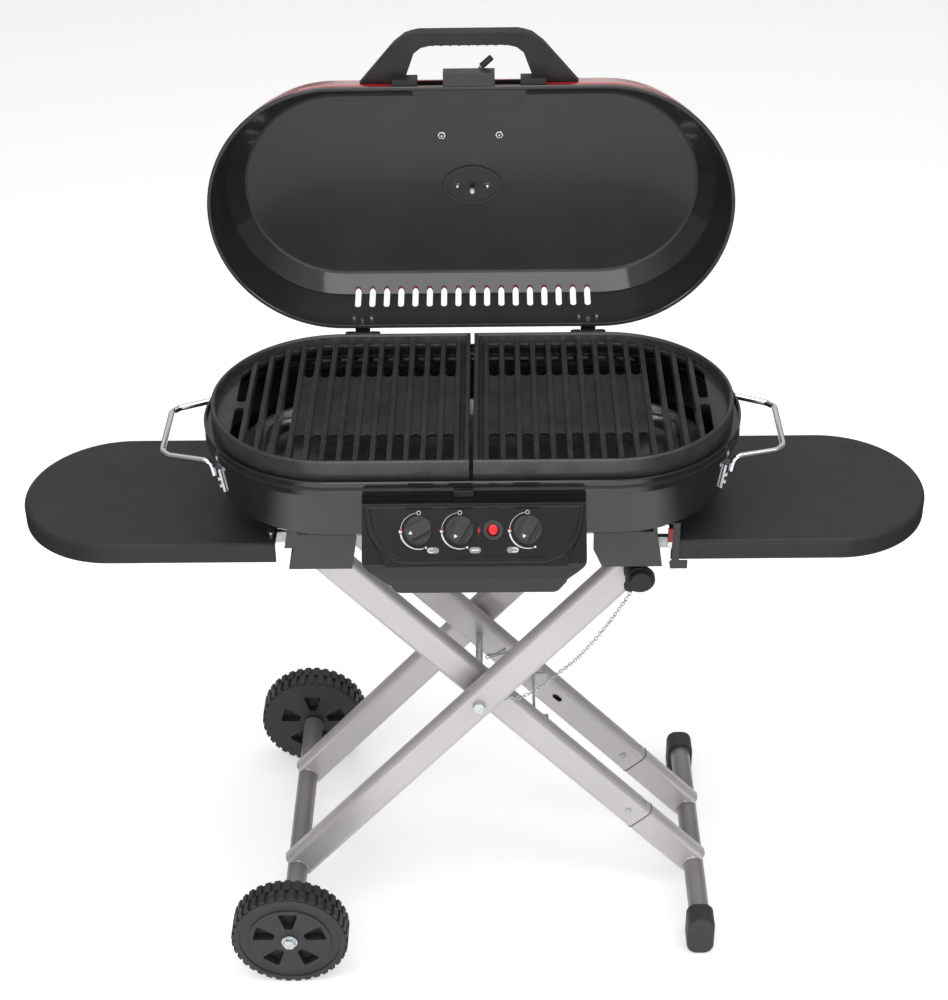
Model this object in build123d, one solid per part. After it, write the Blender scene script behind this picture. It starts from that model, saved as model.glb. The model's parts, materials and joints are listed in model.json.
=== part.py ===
"""A stand-up folding gas grill: a stadium-shaped firebox and lid, two sliding side
tables and a wheeled scissor stand that folds flat under the firebox.

Millimetres, +X to the right as the user faces the knobs, +Y to the rear, +Z up.
The origin is on the ground under the middle of the whole grill's footprint.
Parts are modelled about the firebox's own centre plane and moved to the frame at the end.
"""
from build123d import *
import math
import os

# Frame: the firebox centre lies in front of the footprint's centre, because the open lid
# reaches further back than the wheels reach forward.
head_y = -8.205

# Firebox, grates and lid share one straight stretch between their two half-round ends.
straight = 173.0
firebox_r = 170.0
firebox_top = 782.0
firebox_base = 691.0
floor_thick = 1.6
grate_r = 160.5
grate_top = 805.0
grate_rest = 776.0
grate_floor = 786.0
grate_gap = 2.5
burner_z = 722.0
burner_r = 9.5
spark_x, spark_z, spark_r = 5.0, 738.0, 3.5
slot_pitch = 20.6
slot_width = 12.4
first_slot = 28.5

# Lid
lid_rim_z = 783.0
lid_r = 168.0
lid_depth = 86.0
hinge_y = 183.3
hinge_z = 789.6
lid_open = 91.0
hinge_xs = (-149.0, 156.0)
hinge_screw_places = ((-12.0, 804.0), (12.0, 804.0), (0.0, 797.0))
vent_count = 17
vent_pitch = 19.6

# Control panel
panel_left, panel_right = -133.0, 139.0
panel_top = 764.0
panel_base = 665.0
panel_tilt = 42.0
panel_face_y = -212.1
panel_face_z = 739.5
crease_z = 706.8
panel_wall = 2.4
face_set_out = 12.0
knob_xs = {"left": -63.5, "middle": -14.0, "right": 67.8}
# How far each knob is turned from off at rest, counter-clockwise seen from the front.
knob_turns = {"left": 117.0, "middle": 150.0, "right": 152.0}
button_x = 26.1
supply_x = 98.0
inlet_r = 12.7

# Side tables
table_in = 250.0
table_half = 127.0
table_end = 463.0
table_top = 661.0
table_base = 634.0

# Folding stand: the inner legs run to the foot tube, the outer legs to the axle.
pivot_x, pivot_z = 4.3, 381.0
top_z = 606.0
foot_x, foot_z = 312.6, 46.0
axle_x, axle_z = -259.4, 80.4
inner_y, outer_y = 59.5, 98.0
leg_tall, leg_thick, leg_wall = 45.0, 25.0, 1.8
tube_r = 14.5
seam_along = 336.0
rivet_back = 26.0
bolt_r = 5.0
stud_r = 4.0
running = 0.05

# Wheels
wheel_r = 80.4
wheel_in, wheel_out = 212.0, 250.0
axle_rod_r = 6.0

inner_angle = math.degrees(math.atan2(pivot_z - foot_z, foot_x - pivot_x))
outer_angle = math.degrees(math.atan2(pivot_z - axle_z, pivot_x - axle_x))
inner_up = (top_z - pivot_z) / math.sin(math.radians(inner_angle))
outer_up = (top_z - pivot_z) / math.sin(math.radians(outer_angle))
inner_top_x = pivot_x - inner_up * math.cos(math.radians(inner_angle))
outer_top_x = pivot_x + outer_up * math.cos(math.radians(outer_angle))

parts = {}


# ---- shared shapes ----

def block(x0, x1, y0, y1, z0, z1):
    """A box between two corners."""
    return Pos((x0 + x1) / 2, (y0 + y1) / 2, (z0 + z1) / 2) * Box(x1 - x0, y1 - y0, z1 - z0)


def rod_x(x0, x1, y, z, r):
    return Pos((x0 + x1) / 2, y, z) * Rot(0, 90, 0) * Cylinder(r, x1 - x0)


def rod_y(y0, y1, x, z, r):
    return Pos(x, (y0 + y1) / 2, z) * Rot(90, 0, 0) * Cylinder(r, y1 - y0)


def rod_z(z0, z1, x, y, r):
    return Pos(x, y, (z0 + z1) / 2) * Cylinder(r, z1 - z0)


def hex_y(y0, y1, x, z, across):
    """A hexagonal head or nut along Y."""
    prism = extrude(RegularPolygon(across / 2, 6, major_radius=False), y1 - y0)
    return Pos(x, y1, z) * Rot(90, 0, 0) * prism


def group(solids):
    """Separate solids kept side by side in one node."""
    return Compound([s for item in solids for s in item.solids()])


def outline(points, plane=Plane.XY):
    """A closed face through straight corners."""
    return plane * make_face(Polyline(*points, close=True))


def stadium(points, length=straight):
    """A (radius, height) outline carried round a stadium-shaped path."""
    section = Plane.YZ * make_face(Polyline(*points, close=True))
    turned = revolve(section, Axis.Z, 360)
    right = Pos(length, 0, 0) * split(turned, Plane.YZ, keep=Keep.TOP)
    left = Pos(-length, 0, 0) * split(turned, Plane.YZ, keep=Keep.BOTTOM)
    middle = extrude(section, length, both=True)
    return right + middle + mirror(middle, Plane.XZ) + left


def stadium_face(r, length=straight):
    return SlotCenterToCenter(2 * length, 2 * r)


def tube_along(points, r, bend):
    """A round bar through corner points, with rounded bends."""
    path = FilletPolyline(*points, radius=bend)
    start = Plane(origin=path @ 0, z_dir=path % 0)
    return sweep(start * Circle(r), path=path)


# ---- firebox ----

def firebox():
    low, high, r = firebox_base, firebox_top, firebox_r
    outer = stadium([(0, low), (151, low), (157.5, 697.5), (166, 759), (r, 762), (r, 770),
                     (168.4, 772.5), (r, 775), (r, high - 1), (r - 1, high), (0, high)])
    inside = low + floor_thick
    cavity = stadium([(0, inside), (150.4, inside), (156, 698.2), (164.4, 759.5),
                      (167.2, 764), (167.2, high + 1), (0, high + 1)])
    under = grate_rest - floor_thick
    ledge = stadium([(149, under), (167.4, under), (167.4, grate_rest), (149, grate_rest)])
    body = outer - cavity + ledge
    for x in knob_xs.values():
        body -= rod_y(-172, -145, x, burner_z, 11)
    for x in (-80, 80):
        body -= rod_z(690, 693, x, 60, 6)
    return body - rod_y(-172, -145, spark_x, spark_z, spark_r)


def drip_tray():
    """The loose pan on the firebox floor that catches fat."""
    length = straight - 6
    outside = [(0, 693.5), (130, 693.5), (144, 709), (149, 709), (149, 710.2), (0, 710.2)]
    inside = [(0, 694.7), (129.4, 694.7), (143.4, 710.2), (143.4, 711), (0, 711)]
    return stadium(outside, length) - stadium(inside, length)


def grate(side):
    """One half of the cast cooking surface; side is +1 for the right half."""
    top, floor = grate_top, grate_floor
    lip = stadium([(152, floor + 5), (153.6, top - 2), (155.4, top), (157.6, top), (159.4, top - 1.6),
                   (grate_r, grate_rest), (156.5, grate_rest), (155.5, floor), (152, floor)])
    keep = block(grate_gap, 400, -200, 200, 700, 900)
    floor_face = stadium_face(154) & Pos(250, 0) * Rectangle(2 * (250 - grate_gap), 400)
    ribs = Sketch()
    slots = Sketch()
    count = 14
    for k in range(count):
        x = first_slot + slot_pitch * k
        ribs += Pos(x - slot_pitch / 2, 0) * Rectangle(slot_pitch - slot_width, 320)
        if k < 10:
            slots += Pos(x, 109) * SlotOverall(84, slot_width, rotation=90)
            slots += Pos(x, -112) * SlotOverall(78, slot_width, rotation=90)
        elif k < count - 1:
            slots += Pos(x, 0) * SlotOverall(304, slot_width, rotation=90)
        else:
            slots += Pos(x, 52) * SlotOverall(90, slot_width, rotation=90)
            slots += Pos(x, -52) * SlotOverall(90, slot_width, rotation=90)
    slots = slots & stadium_face(149.5)
    ribs = ribs & stadium_face(153)
    casting = extrude(Pos(0, 0, floor) * (floor_face - slots), 5)
    casting += extrude(Pos(0, 0, floor + 5) * ribs, 5.5, taper=13)
    casting += lip & keep
    divider = [(grate_gap, grate_rest), (grate_gap, top - 1.6), (4.3, top), (6.6, top),
               (8.4, top - 2), (10.5, floor + 5), (10.5, floor), (6, grate_rest)]
    wall = extrude(outline(divider, Plane.XZ), 157, both=True)
    casting += wall & extrude(Pos(0, 0, 770) * stadium_face(158.5), 40)
    return casting if side > 0 else mirror(casting, Plane.YZ)


def u_burner(side):
    """A U-shaped burner tube lying flat under one grate half."""
    x0 = knob_xs["right"] if side > 0 else -knob_xs["left"]
    path = [(x0, -168), (x0, -66), (262, -66), (262, 66), (x0 - 6, 66)]
    return tube_along([(side * x, y, burner_z) for x, y in path], burner_r, 30)


def straight_burner():
    return rod_y(-168, 120, knob_xs["middle"], burner_z, burner_r)


# ---- controls ----

panel_plane = Plane(
    origin=(0, panel_face_y, panel_face_z),
    x_dir=(1, 0, 0),
    z_dir=(0, -math.cos(math.radians(panel_tilt)), math.sin(math.radians(panel_tilt))),
)


def panel_profile(inset, set_back):
    """The control box's side view over its whole width; its front can be set back."""
    tilt = math.radians(panel_tilt)
    deep = inset + set_back
    top, base = panel_top - inset, panel_base + inset
    top_y = panel_face_y + (top - panel_face_z) * math.tan(tilt) + deep / math.cos(tilt)
    low_y = panel_face_y + (crease_z - panel_face_z) * math.tan(tilt) + deep
    low_z = crease_z - deep * (1 / math.cos(tilt) - 1) / math.tan(tilt)
    profile = [(-149, top), (top_y, top), (low_y, low_z), (low_y, 690), (low_y + 5, base), (-149, base)]
    return extrude(outline(profile, Plane.YZ), 300, both=True)


def panel_front(points, inset, bend):
    """A front view of the control box with rounded corners, carried forward from the firebox."""
    face = make_face(Polyline(*points, close=True))
    face = fillet(face.vertices().filter_by(lambda v: v.Y < panel_top - 1), bend)
    if inset:
        face = offset(face, -inset)
    return extrude(Plane.XZ * face, 260)


def panel_solid(inset):
    """The control box's outside, or its cavity when inset by the wall."""
    top, base = panel_top, panel_base
    wide = [(panel_left, top), (panel_left, 700), (panel_left + 35, base),
            (panel_right - 35, base), (panel_right, 700), (panel_right, top)]
    narrow = [(panel_left + 0.5, top), (-117, 727), (-103, 708), (-103, 684), (-91, base),
              (103, base), (115, 684), (115, 712), (125.5, 729), (panel_right - 0.5, top)]
    rear = panel_front(wide, inset, 18) & panel_profile(inset, face_set_out)
    return rear + (panel_front(narrow, inset, 10) & panel_profile(inset, 0))


def control_panel():
    envelope = stadium([(0, firebox_base), (151, firebox_base), (157.5, 697.5), (166, 759),
                        (firebox_r, 762), (firebox_r, 790), (0, 790)])
    box = panel_solid(0) - panel_solid(panel_wall) - envelope
    for x in knob_xs.values():
        box -= panel_plane * Pos(x, 0, 0) * Cylinder(5.2, 20)
    box -= panel_plane * Pos(button_x, 0, 0) * Cylinder(9.0, 20)
    return box


def panel_bezel():
    """The raised frame round the knobs, narrow along its foot and wider up both sides."""
    outer = [(-130.5, 31), (-124, -6), (-109, -28), (-86, -39.5), (90, -39.5), (118, -28), (131, -6), (136.5, 31)]
    inner = [(-123, 27), (-117, -1), (-104, -22), (-81, -33), (84, -33), (111, -22), (126, -1), (131, 27)]
    faces = []
    for points in (outer, inner):
        face = make_face(Polyline(*points, close=True))
        faces.append(fillet(face.vertices().filter_by(lambda v: v.Y < 10), 30))
    ring = extrude(faces[0] - faces[1], 2.2)
    ring = chamfer(ring.faces().sort_by(Axis.Z)[-1].edges(), 0.9)
    return panel_plane * ring


def knob(name):
    """A round knob with a wide raised finger bar, turned to its rest position."""
    skirt = Pos(0, 0, 2.4) * Cylinder(17.3, 2.8)
    disc = extrude(Pos(0, 0, 3.8) * Circle(16.8), 7, taper=5)
    bar = extrude(Pos(0, 0, 3.8) * RectangleRounded(16.5, 35, 2), 14.4, taper=4)
    bar = bar & Pos(0, 0, 3.8) * Cone(16.9, 15.6, 14.4, align=(Align.CENTER, Align.CENTER, Align.MIN))
    body = skirt + disc + bar
    body -= Pos(0, 0, 4) * Cylinder(3.05, 16)
    return panel_plane * Pos(knob_xs[name], 0, 0) * Rot(0, 0, knob_turns[name]) * body


def valve(x):
    """A brass gas tap behind the panel, with its stem out to the knob and its jet to the rear."""
    stem = panel_plane * Pos(x, 0, 1) * Cylinder(3.0, 20)
    body = panel_plane * Pos(x, 0, -12) * Cylinder(8, 12)
    nozzle = rod_y(-190, -168.2, x, burner_z, 5.5)
    link = block(x - 5, x + 5, -205, -181, 716, 738)
    return body + stem + nozzle + link


def gas_manifold():
    pipe = rod_x(-75, 86, -187, 708, 4.5)
    ports = [rod_z(708, 716, x, -187, 4) for x in knob_xs.values()]
    corners = [(80, -187, 708), (supply_x, -187, 708), (supply_x, -187, 676), (supply_x, 168, 676)]
    drop = tube_along(corners, 4.5, 9)
    return pipe + ports[0] + ports[1] + ports[2] + drop


def regulator():
    """The pressure regulator, with a threaded inlet that faces down for the gas cylinder."""
    body = rod_z(660, 690, supply_x, 190, 22)
    cap = rod_z(690, 700, supply_x, 190, 17)
    boss = rod_z(646, 660, supply_x, 190, 17)
    body = body + cap + boss
    body -= rod_z(645, 660, supply_x, 190, inlet_r)
    return body


def igniter_button():
    cap = Pos(0, 0, 6.5) * Cylinder(6.25, 9)
    cap = fillet(cap.edges().sort_by(Axis.Z)[-1], 2.2)
    stem = Pos(0, 0, -7) * Cylinder(4, 18)
    return panel_plane * Pos(button_x, 0, 0) * (cap + stem)


def igniter_body():
    collar = Pos(0, 0, 1.5) * (Cylinder(12, 3) - Cylinder(7.2, 3))
    collar = collar + Pos(0, 0, -9) * (Cylinder(8.8, 18) - Cylinder(7.2, 18))
    back = Pos(0, 0, -26) * Cylinder(8.8, 8)
    sleeve = Pos(0, 0, -20) * (Cylinder(8.8, 6) - Cylinder(7.2, 6))
    return panel_plane * Pos(button_x, 0, 0) * (collar + sleeve + back)


def spark_electrode():
    """The igniter's electrode, through the firebox's front wall beside the middle burner."""
    return rod_y(-172, -138, spark_x, spark_z, spark_r) + rod_y(-138, -126, spark_x, spark_z, 1.2)


# ---- lid ----

# Each outline runs (radius, height above the rim) from the middle of the lid's top to its rim.
lid_outside = [(0, lid_depth), (127, lid_depth), (131, 85.4), (153.4, 67.6), (156, 63.4),
               (166.6, 22), (lid_r, 14), (lid_r, 4), (0, 4)]
lid_middle = [(0, 85.1), (126.7, 85.1), (130.4, 84.6), (152.7, 66.8), (155, 62.8),
              (165.7, 21.8), (167.1, 14), (167.1, 3), (0, 3)]
lid_inside = [(0, 84), (126.3, 84), (129.8, 83.4), (151.8, 65.8), (153.8, 62.2),
              (164.6, 21.6), (166, 14), (166, -1), (0, -1)]

plate_y = -72.0
plate_screw_xs = (-38.0, 38.0)


def lid_frame(points):
    return stadium([(r, z + lid_rim_z) for r, z in points])


def lid_holes():
    """Holes through the lid for the hinge screws, the plate's screws and the thermometer."""
    holes = [rod_y(150, 180, x + dx, z, 1.8) for x in hinge_xs for dx, z in hinge_screw_places]
    holes += [rod_z(lid_rim_z + 70, lid_rim_z + 95, x, plate_y, 2.5) for x in plate_screw_xs]
    holes += [rod_z(lid_rim_z + 70, lid_rim_z + 95, 1.5, 0, 2.6)]
    return group(holes)


def opened(solid):
    """Turn a lid part from shut to its open rest pose."""
    axis = Axis((0, hinge_y, hinge_z), (1, 0, 0))
    return solid.rotate(axis, -lid_open)


def vents():
    """The row of upright slots low in the lid's rear wall."""
    cut = Sketch()
    for k in range(vent_count):
        x = (k - (vent_count - 1) / 2) * vent_pitch
        cut += Pos(x, lid_rim_z + 57) * SlotOverall(31, 8, rotation=90)
    return extrude(Plane.XZ.offset(-110) * cut, -100)


def recess_solid(wall):
    """The finger pocket behind the lid handle; wall is its skin thickness.

    Its foot rises steeply from the lid's wall, so that it clears the grates when the lid is shut.
    """
    wide, narrow, back = 82 + wall, 62 + wall, -136 + wall
    side = outline([(-wide, -176), (wide, -176), (narrow, back), (-narrow, back)])
    low, high = lid_rim_z - wall, lid_rim_z + 56 + wall
    section = outline([(-177, low + 6), (-168.5, low + 9.5), (-163 + 0.7 * wall, low + 24.3),
                       (-130, low + 27), (-130, high), (-177, high)], Plane.YZ)
    return extrude(Pos(0, 0, lid_rim_z) * side, 90) & extrude(section, 120, both=True)


def lid_shell():
    body = lid_frame(lid_outside) - lid_frame([(r, z if z > 5 else -2) for r, z in lid_middle])
    return opened(body - vents() - recess_solid(0) - lid_holes())


def lid_liner():
    gap = 0.05
    body = lid_frame([(max(r - gap, 0), z - gap) for r, z in lid_middle]) - lid_frame(lid_inside)
    rolled = [(165.4, 0.5), (166.5, 0), (169.6, 0), (170.6, 1), (170.6, 3.4), (169.6, 4),
              (167.05, 4), (165.4, 5)]
    rim = lid_frame(rolled)
    body = body + rim - vents() - recess_solid(0) - lid_holes()
    pocket = (recess_solid(1.1) - recess_solid(0)) & lid_frame(lid_inside)
    return opened(body + pocket)


def lid_handle():
    """The bail handle on the lid's front wall, ribbed under the grip."""
    low, top = -326, -403
    outside = [(139, low), (139, -334), (94, -386), (80, -397), (62, top)]
    inside = [(84, low), (82, -338), (69, -374), (60, -381), (47, -384)]
    loops = [make_face(Polyline(*points, *[(-x, y) for x, y in reversed(points)], close=True))
             for points in (outside, inside)]
    grip = extrude(Pos(0, lid_r, lid_rim_z + 22) * (loops[0] - loops[1]), 14)
    front = grip.edges().filter_by(lambda e: abs(e.center().Y - (lid_r + top)) < 0.1)
    grip = chamfer(front.filter_by(lambda e: abs(e.tangent_at(0.5).Z) < 0.1), 3)
    for side in (-1, 1):
        grip += block(*sorted((65 * side, 97 * side)), -178, -160, lid_rim_z + 4, lid_rim_z + 23)
    for k in range(9):
        x = (k - 4) * 11.4
        grip += block(x - 1.6, x + 1.6, -217, -214.6, lid_rim_z + 24, lid_rim_z + 34)
    return opened(grip - lid_frame(lid_outside))


def latch_housing():
    shell = block(-32.5, 32.5, -188, -170.8, 783, 800) - block(-30, 30, -185.5, -170, 785, 801)
    ear = block(-32.5, 32.5, -171.4, -168.0, 791, 812)
    ear -= lid_frame(lid_outside)
    return opened(shell + ear)


def latch_lever():
    """The swinging latch wire with its rubber tip."""
    hub = Pos(7, -176, 803.5) * Cylinder(4, 5)
    wire = tube_along([(7, -176, 804.6), (15, -188, 804.6), (25, -197, 804.6)], 2.0, 6)
    tip = Pos(22.3, -194.6, 804.6) * Rot(0, 0, 48) * Rot(90, 0, 0) * Cylinder(4.0, 17)
    return opened(hub + wire), opened(tip - wire)


def oval(a, b, z0, z1):
    return extrude(Pos(1.5, 0, z0) * Ellipse(a, b), z1 - z0)


def thermometer_plate():
    """The pressed oval plate on the inside of the lid."""
    z = lid_rim_z + 84
    ring = oval(39, 28, z - 3, z) - oval(34, 23, z - 3.1, z - 1)
    return opened(ring - lid_holes())


def thermometer():
    """The round dial on the outside of the lid, with its probe through the lid."""
    z = lid_rim_z + 86
    body = oval(42, 32, z, z + 8)
    body = chamfer(body.faces().sort_by(Axis.Z)[-1].edges(), 2)
    probe = rod_z(z - 26, z, 1.5, 0, 2.6)
    return opened(body - Pos(1.5, 0, z + 7) * Cylinder(24, 4) + probe)


def dial_glass():
    z = lid_rim_z + 86
    return opened(Pos(1.5, 0, z + 6.5) * Cylinder(23.9, 3))


def thermometer_nuts():
    z = lid_rim_z + 83
    nuts = [Pos(1.5 + x, 0, z - 3) * extrude(RegularPolygon(4.6, 6), 3) for x in (-20, 20)]
    domes = [Pos(1.5 + x, 0, z - 3) * Sphere(3.9) & block(-99, 99, -9, 9, z - 9, z - 1) for x in (-20, 20)]
    return opened(group([nuts[0] + domes[0], nuts[1] + domes[1]]))


def lid_plate():
    """A blank oblong plate on the lid top, with its two screws through the lid."""
    z = lid_rim_z + 86
    face = extrude(Pos(0, plate_y, z) * RectangleRounded(120, 34, 15), 2.5)
    return opened(face)


def plate_screws():
    z = lid_rim_z + 84
    heads = []
    for x in plate_screw_xs:
        shank = rod_z(z, z + 2, x, plate_y, 2.5)
        nut = Pos(x, plate_y, z - 3) * extrude(RegularPolygon(5.4, 6), 3)
        heads.append(shank + nut + Pos(x, plate_y, z - 3.6) * Sphere(3.4))
    return opened(group(heads))


# ---- lid hinges ----

def hinge_base(x):
    """The fixed leaf: a plate on the firebox's rear wall with two knuckles."""
    pad = block(x - 21, x + 21, firebox_r, 171.6, 764, 780)
    plate = block(x - 21, x + 21, 171.5, 173.5, 756, 787)
    leaf = pad + plate
    for side in (-1, 1):
        a, b = sorted((x + side * 10.5, x + side * 21))
        leaf += block(a, b, 172, hinge_y, 785, 787)
        leaf += rod_x(a, b, hinge_y, hinge_z, 4.6)
    leaf -= rod_x(x - 30, x + 30, hinge_y, hinge_z, 2.5)
    return leaf


def hinge_leaf(x):
    """The lid's leaf: a plate on the lid's rear wall with the middle knuckle."""
    plate = block(x - 20, x + 20, 168.4, 170.4, 791.5, 812)
    arm = block(x - 10, x + 10, 169, hinge_y, 791.2, 793.2)
    knuckle = rod_x(x - 10, x + 10, hinge_y, hinge_z, 4.6)
    leaf = plate + arm + knuckle - rod_x(x - 30, x + 30, hinge_y, hinge_z, 2.5 + running)
    return opened(leaf - lid_frame(lid_outside) - lid_holes())


def hinge_pin(x):
    pin = rod_x(x - 21.5, x + 21.5, hinge_y, hinge_z, 2.5)
    heads = rod_x(x - 23.5, x - 21, hinge_y, hinge_z, 4) + rod_x(x + 21, x + 23.5, hinge_y, hinge_z, 4)
    return pin + heads


def hinge_screws(x):
    """Three screws per hinge, with their heads on the inside of the lid's rear wall."""
    made = []
    for dx, z in hinge_screw_places:
        head = rod_y(163.2, 166.5, x + dx, z, 3.6) & lid_frame(lid_inside)
        made.append(rod_y(164.0, 171.4, x + dx, z, 1.8) + head)
    return made


def latch_catch():
    hook = block(-21, 3, -176, -170.0, 764.5, 773) - block(-17, -1, -174.5, -170.5, 766.5, 774)
    return hook


# ---- side handles ----

def side_handle(side):
    """A fixed wire carrying handle on one end of the firebox."""
    half = [(326.0, -75.9, 735), (328.9, -77.4, 755), (385, -58, 752), (394, -48, 752)]
    path = half + [(x, -y, z) for x, y, z in reversed(half)]
    return tube_along([(x * side, y, z) for x, y, z in path], 4.0, 9)


def handle_feet(side):
    """The flattened ends of the handle wire, each held by two rivets."""
    made = []
    for end in (-1, 1):
        angle = math.degrees(math.atan2(end * 72, 145))
        foot = Box(3.2, 15, 36)
        for z in (-12, -1):
            foot += Pos(2.2, 0, z) * Rot(0, 90, 0) * Cylinder(3.0, 2.6)
        foot = Pos(straight, 0, 0) * Rot(0, 0, angle) * Pos(163.5, 0, 727) * Rot(0, 7.9, 0) * foot
        made.append(foot if side > 0 else mirror(foot, Plane.YZ))
    return made


# ---- side tables ----

def table_face(inset, inner):
    arc = Pos(table_end, 0) * Circle(table_half - inset)
    body = Pos((inner + table_end) / 2, 0) * Rectangle(table_end - inner, 2 * (table_half - inset))
    return body + arc


def side_table(side):
    """A moulded tray-shaped table, open underneath and at its inner end."""
    body = extrude(Pos(0, 0, table_base) * table_face(0, table_in), table_top - table_base)
    edges = body.faces().sort_by(Axis.Z)[-1].edges()
    edges = edges.filter_by(lambda e: e.center().X > table_in + 1)
    body = fillet(edges, 6.5)
    hollow = extrude(Pos(0, 0, table_base - 1) * table_face(3, table_in - 5), table_top - table_base - 2.2)
    body -= hollow
    for y in (-60, 60):
        body += block(table_in + 20, 520, y - 1.5, y + 1.5, 642, 659)
    return body if side > 0 else mirror(body, Plane.YZ)


def table_rails(side):
    """Two flat rails under each table that slide in the leg brackets, and two stop pins."""
    y = 106 if side > 0 else 88
    made = [block(164, 380, s * y - 4, s * y + 4, 640, 656) for s in (-1, 1)]
    made += [block(262, 380, s * y - 4, s * y + 4, 656, 657.8) for s in (-1, 1)]
    # The pins stay below the gas pipe, which they pass under as the table slides in.
    for s in (-1, 1):
        shank = rod_z(table_top, 667.5, 256, s * 110, 3.0)
        made.append(shank + rod_z(667.5, 670.5, 256, s * 110, 4.2))
    rails = group([made[0] + made[2], made[1] + made[3], made[4], made[5]])
    return rails if side > 0 else mirror(rails, Plane.YZ)


# ---- leg brackets under the firebox ----

def leg_bracket(side):
    """A steel tunnel under the firebox: the table slides through it and the legs hang below."""
    top, crook, low = firebox_base, 657, 630
    if side > 0:
        front = [(151.5, top), (229, top), (239, low), (163, low), (151.5, crook)]
        wing = [(227.2, top), (229, top), (229 + 4.7, 662.5), (227.2 + 4.7, 662.5)]
    else:
        front = [(-143, top), (-222, top), (-223, 670), (-233.4, low), (-153, low)]
        wing = [(-221, top), (-232, top), (-237, 662.5), (-223.6, 662.5)]
    tunnel = extrude(outline(front, Plane.XZ), 137, both=True)
    body = tunnel - block(-400, 400, -134.6, 134.6, 632, 688.5)
    wings = extrude(outline(wing, Plane.XZ), 137, both=True)
    slot_start, slot_end = sorted((front[0][0] + 3 * side, front[1][0] - 3 * side))
    for s in (-1, 1):
        body += wings & block(-400, 400, *sorted((118 * s, 137 * s)), 662.5, top)
        body -= block(slot_start, slot_end, *sorted((126 * s, 138 * s)), 683.5, top + 1)
    return body


def bracket_ears(side):
    """Plates below a leg bracket that carry the legs' top pins."""
    x = outer_top_x if side > 0 else inner_top_x
    gap = (outer_y if side > 0 else inner_y) + leg_thick / 2 + 3.0
    made = []
    for s in (-1, 1):
        y0, y1 = sorted((s * gap, s * (gap + 3)))
        half, low = (9.5, 597) if side > 0 else (15, 590)
        ear = block(x - half, x + half, y0, y1, low, 630)
        ear = fillet(ear.edges().filter_by(Axis.Y).group_by(Axis.Z)[0], half - 1)
        if side > 0:
            slot = block(x, x + 20, y0 - 1, y1 + 1, top_z - 7, top_z + 5.2)
            slot += block(x + 5, x + 20, y0 - 1, y1 + 1, top_z - 7, top_z + 12.5)
            ear = ear - slot - rod_y(y0 - 1, y1 + 1, x, top_z, bolt_r + 0.2)
        else:
            ear -= rod_y(y0 - 1, y1 + 1, x, top_z, bolt_r)
        made.append(ear)
    return made


def inner_top_pin():
    reach = inner_y + leg_thick / 2 + 6.0
    pin = rod_y(-reach - 2, reach + 2, inner_top_x, top_z, bolt_r)
    pin += hex_y(-reach - 7, -reach, inner_top_x, top_z, 15)
    return pin + hex_y(reach, reach + 7, inner_top_x, top_z, 15)


def table_catch():
    """A spring clip hung from the firebox floor that stops the right table at full reach."""
    strap = block(251.5, 260.4, -129.6, -127.6, 621, 691) + block(246, 252, -129.6, -127.6, 655, 683)
    flange = block(238, 256, -129.6, -112, 689.4, firebox_base)
    foot = block(249.7, 271.4, -129.6, -127.6, 621, 633) + block(249.7, 271.4, -129.6, -116, 621, 623)
    return strap + flange + foot


def catch_tab():
    return block(245, 251.5, -132, -129.6, 663.5, 683.5)


# ---- stand ----

def leg_place(angle, side, y):
    """Moves a leg modelled along +X from the scissor pivot to its slope; side -1 mirrors it."""
    place = Pos(pivot_x, y, pivot_z) * Rot(0, angle, 0)
    return place if side > 0 else Pos(pivot_x, y, pivot_z) * Rot(0, 180 - angle, 0)


def leg_tube(start, stop, grow=0.0):
    """A flat-sided tube with rounded corners, along X."""
    section = RectangleRounded(leg_thick - 2 * grow, leg_tall - 2 * grow, 9 - grow)
    return Pos(start, 0, 0) * extrude(Plane.YZ * section, stop - start)


def leg(start, stop, round_start):
    """A leg tube with open ends, or with its first end closed by a half-round wall."""
    body = leg_tube(start, stop) - leg_tube(start - 1, stop + 1, leg_wall)
    if round_start:
        half = leg_tall / 2
        disc = rod_y(-50, 50, start + half, 0, half)
        body = body & (block(start + half, stop, -50, 50, -60, 60) + disc)
        ring = disc - rod_y(-50, 50, start + half, 0, half - leg_wall)
        skin = leg_tube(start, start + half + 1) & ring
        body += skin & block(start, start + half, -50, 50, -60, 60)
    return body


def cross_bores(body, places):
    for along, r in places:
        body -= rod_y(-40, 40, along, 0, r)
    return body


def inner_leg_upper(s):
    body = leg(-inner_up - leg_tall / 2, seam_along - 0.4, True)
    body = cross_bores(body, [(-inner_up, bolt_r + running), (0, bolt_r), (seam_along - rivet_back, 2.5)])
    body -= Pos(162, -20 * s, 2) * Rot(90, 0, 0) * extrude(SlotOverall(17, 7.5), 30, both=True)
    body -= Pos(seam_along - 14, 0, leg_tall / 2) * Box(9, 3.5, 6)
    return leg_place(inner_angle, 1, s * inner_y) * body


def inner_leg_lower(s):
    reach = math.hypot(foot_x - pivot_x, pivot_z - foot_z)
    body = leg(seam_along + 0.4, reach, False)
    body = leg_place(inner_angle, 1, s * inner_y) * body
    return body - rod_y(-200, 200, foot_x, foot_z, tube_r)


def leg_spigot(s):
    """The sleeve that joins the two lengths of an inner leg."""
    body = leg_tube(seam_along - 40, seam_along + 34, leg_wall)
    body -= leg_tube(seam_along - 50, seam_along + 50, leg_wall + 1.6)
    face = leg_thick / 2
    rivet = rod_y(-face - 1.6, face + 1.6, seam_along - rivet_back, 0, 2.5)
    for y0, y1 in ((-face - 1.6, -face), (face, face + 1.6)):
        rivet += rod_y(y0, y1, seam_along - rivet_back, 0, 4.4)
    return leg_place(inner_angle, 1, s * inner_y) * (body + rivet)


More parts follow.
